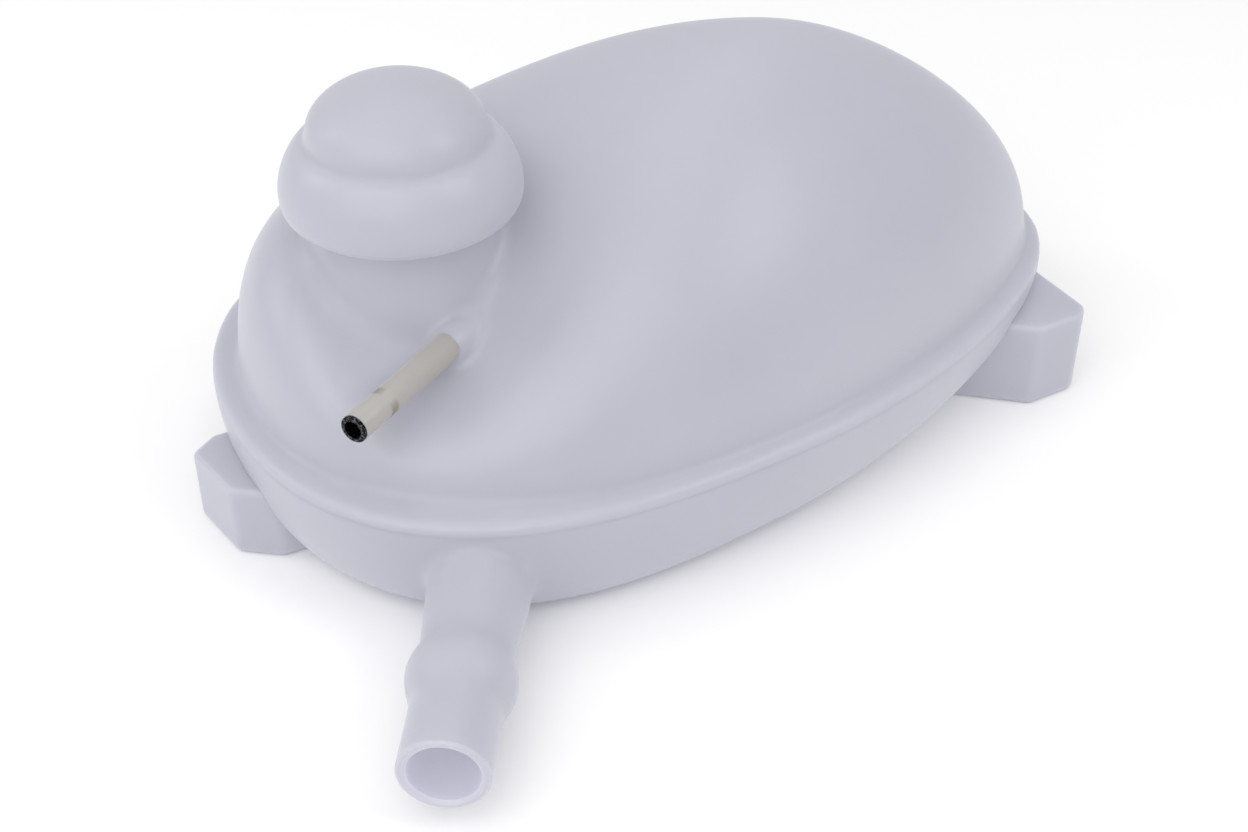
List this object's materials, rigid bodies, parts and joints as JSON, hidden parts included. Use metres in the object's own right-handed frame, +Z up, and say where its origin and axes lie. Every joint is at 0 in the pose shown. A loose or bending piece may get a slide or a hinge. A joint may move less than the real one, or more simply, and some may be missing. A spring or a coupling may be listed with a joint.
{
  "type": "coolant expansion tank",
  "caption": "Egg-shaped coolant expansion tank of milky plastic: welded shells with a ledge, filler neck with screwed pressure cap, bleed nipple, outlet spigot and mounting lugs.",
  "frame": {"origin": "point on the base plane under the middle of the weld flange's plan", "axes": "+X along the tank from the filler neck to the far end, +Y away from the outlet spigot's side, +Z up"},
  "size_m": [0.2133, 0.1703, 0.0994],
  "materials": {
    "milky_plastic": "satin",
    "cap_plastic": "satin",
    "white_plastic": "satin",
    "silicone": "matte",
    "dark_metal": "satin",
    "spring_steel": "satin",
    "plate_brass": "satin"
  },
  "bodies": {
    "tank": {"upper_shell": "milky_plastic", "lower_shell": "milky_plastic", "nipple_sleeve": "dark_metal"},
    "cap_core": {"valve_housing": "white_plastic", "neck_o_ring": "silicone", "spring_retainer": "white_plastic", "relief_spring": "spring_steel"},
    "cap": {"cap_shell": "cap_plastic"},
    "relief": {"relief_plate": "plate_brass", "relief_seal": "silicone", "vacuum_spring": "spring_steel"},
    "vacuum": {"vacuum_valve": "plate_brass"}
  },
  "joints": [
    {"name": "cap_lift", "type": "slide", "parent": "tank", "child": "cap_core", "axis": [0, 0, 1], "range_m": [0, 0.0081]},
    {"name": "cap_turn", "type": "hinge", "parent": "cap_core", "child": "cap", "pos_m": [-0.06, 0, 0.084], "axis": [0, 0, 1], "range_deg": [0, 360]},
    {"name": "relief_lift", "type": "slide", "parent": "cap_core", "child": "relief", "axis": [0, 0, 1], "range_m": [0, 0.0025], "stiffness_N_per_m": 4000, "springref_m": -0.0046, "deforming": ["relief_spring"]},
    {"name": "vacuum_drop", "type": "slide", "parent": "relief", "child": "vacuum", "axis": [0, 0, -1], "range_m": [0, 0.0012], "stiffness_N_per_m": 100, "springref_m": -0.003, "deforming": ["vacuum_spring"]}
  ],
  "couplings": [
    {"joint": "cap_lift", "follows": "cap_turn", "m_per_rad": 0.0012732}
  ]
}
